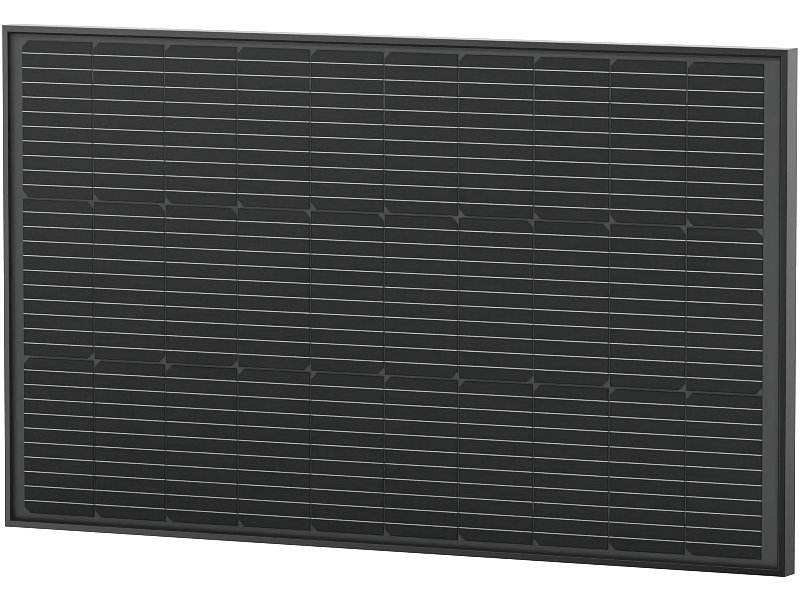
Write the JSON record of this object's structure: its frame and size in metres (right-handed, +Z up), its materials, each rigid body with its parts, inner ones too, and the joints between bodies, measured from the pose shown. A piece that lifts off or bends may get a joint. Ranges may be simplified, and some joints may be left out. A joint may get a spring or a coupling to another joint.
{
  "type": "photovoltaic module",
  "caption": "Framed flat solar panel with rows of half-cut cells behind glass, a slotted rear flange and a lidded junction box with cable glands.",
  "frame": {"origin": "centre of the four rack slots, on the rear plane of the frame", "axes": "+X along the long side to the right seen from the front, +Y out of the back, +Z up the short side"},
  "size_m": [0.98, 0.03, 0.585],
  "materials": {
    "anodised_frame": "black anodised, satin",
    "silicon_cell": "dark textured silicon",
    "tinned_ribbon": "tin coated copper, satin",
    "corner_key": "extruded, mill finish",
    "silicone": "black silicone sealant",
    "solar_glass": "low-iron tempered glass",
    "encapsulant": "clear cross-linked film",
    "backsheet": "black laminated film, matte",
    "insulation": "black film",
    "backing_film": "black film, matte",
    "box_plastic": "fine textured moulding",
    "seal_rubber": "soft, matte",
    "pin_steel": "drawn wire",
    "terminal_copper": "tin plated copper, satin",
    "diode_body": "moulded epoxy",
    "ring_plastic": "natural acetal",
    "nut_plastic": "fine textured moulding"
  },
  "bodies": {
    "module": {"frame_rail_bottom": "anodised_frame", "frame_rail_top": "anodised_frame", "frame_rail_left": "anodised_frame", "frame_rail_right": "anodised_frame", "corner_keys": "corner_key", "frame_sealant": "silicone", "front_glass": "solar_glass", "front_encapsulant": "encapsulant", "rear_encapsulant": "encapsulant", "backsheet": "backsheet", "cell_row1_col01": "silicon_cell", "cell_row1_col02": "silicon_cell", "cell_row1_col03": "silicon_cell", "cell_row1_col04": "silicon_cell", "cell_row1_col05": "silicon_cell", "cell_row1_col06": "silicon_cell", "cell_row1_col07": "silicon_cell", "cell_row1_col08": "silicon_cell", "cell_row1_col09": "silicon_cell", "cell_row1_col10": "silicon_cell", "cell_row2_col01": "silicon_cell", "cell_row2_col02": "silicon_cell", "cell_row2_col03": "silicon_cell", "cell_row2_col04": "silicon_cell", "cell_row2_col05": "silicon_cell", "cell_row2_col06": "silicon_cell", "cell_row2_col07": "silicon_cell", "cell_row2_col08": "silicon_cell", "cell_row2_col09": "silicon_cell", "cell_row2_col10": "silicon_cell", "cell_row3_col01": "silicon_cell", "cell_row3_col02": "silicon_cell", "cell_row3_col03": "silicon_cell", "cell_row3_col04": "silicon_cell", "cell_row3_col05": "silicon_cell", "cell_row3_col06": "silicon_cell", "cell_row3_col07": "silicon_cell", "cell_row3_col08": "silicon_cell", "cell_row3_col09": "silicon_cell", "cell_row3_col10": "silicon_cell", "cell_ribbons_row1": "tinned_ribbon", "cell_ribbons_row2": "tinned_ribbon", "cell_ribbons_row3": "tinned_ribbon", "bus_ribbons": "tinned_ribbon", "lead_ribbons": "tinned_ribbon", "insulation_strips": "insulation", "backing_films": "backing_film", "box_adhesive": "silicone", "box_base": "box_plastic", "hinge_pin": "pin_steel", "terminals": "terminal_copper", "bypass_diodes": "diode_body", "gland_seal_left": "seal_rubber", "gland_seal_right": "seal_rubber"},
    "lid": {"box_lid": "box_plastic", "lid_seal": "seal_rubber"},
    "slip_ring_left": {"gland_ring_left": "ring_plastic"},
    "nut_left": {"gland_nut_left": "nut_plastic"},
    "slip_ring_right": {"gland_ring_right": "ring_plastic"},
    "nut_right": {"gland_nut_right": "nut_plastic"}
  },
  "joints": [
    {"name": "lid_hinge", "type": "hinge", "parent": "module", "child": "lid", "pos_m": [0, -0.00451, 0.2459], "axis": [1, 0, 0], "range_deg": [0, 110]},
    {"name": "gland_travel_left", "type": "slide", "parent": "module", "child": "slip_ring_left", "axis": [0, 0, -1], "range_m": [0, 0.0045]},
    {"name": "gland_turn_left", "type": "hinge", "parent": "slip_ring_left", "child": "nut_left", "pos_m": [-0.03, -0.01301, 0.1595], "axis": [0, 0, -1], "range_deg": [0, 1080]},
    {"name": "gland_travel_right", "type": "slide", "parent": "module", "child": "slip_ring_right", "axis": [0, 0, -1], "range_m": [0, 0.0045]},
    {"name": "gland_turn_right", "type": "hinge", "parent": "slip_ring_right", "child": "nut_right", "pos_m": [0.03, -0.01301, 0.1595], "axis": [0, 0, -1], "range_deg": [0, 1080]}
  ],
  "couplings": [
    {"joint": "gland_turn_left", "follows": "gland_travel_left", "rad_per_m": 4188.8},
    {"joint": "gland_turn_right", "follows": "gland_travel_right", "rad_per_m": 4188.8}
  ]
}
